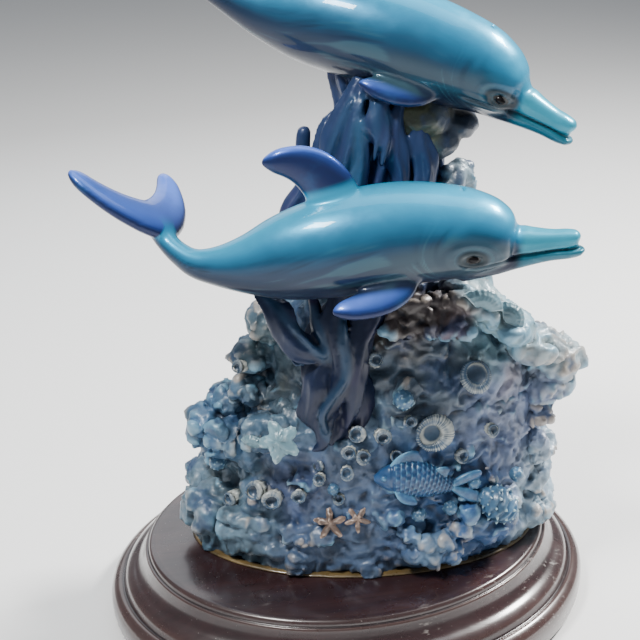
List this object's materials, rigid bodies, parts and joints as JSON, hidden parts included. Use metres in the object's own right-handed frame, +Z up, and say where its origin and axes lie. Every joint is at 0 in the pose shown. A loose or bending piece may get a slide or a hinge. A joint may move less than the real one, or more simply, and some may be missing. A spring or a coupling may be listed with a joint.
{
  "type": "dolphin figurine on plinth",
  "caption": "Painted cast-resin figurine of dolphins leaping over a coral reef, standing on an oval lacquered wooden plinth",
  "frame": {"origin": "centre of the plinth's underside", "axes": "X along the plinth's long axis, the dolphins' heads towards +X; -Y is the figurine's front; +Z up"},
  "size_m": [0.15, 0.125, 0.2125],
  "materials": {
    "painted_resin": "cast resin, airbrushed aqua to deep blue under gloss lacquer on the dolphins, dry-brushed blue-grey on the reef, dark violet-blue on the kelp",
    "lacquered_wood": "dark red-brown stain under satin lacquer"
  },
  "bodies": {
    "root": {"sculpture_casting": "painted_resin", "plinth": "lacquered_wood"}
  },
  "joints": []
}
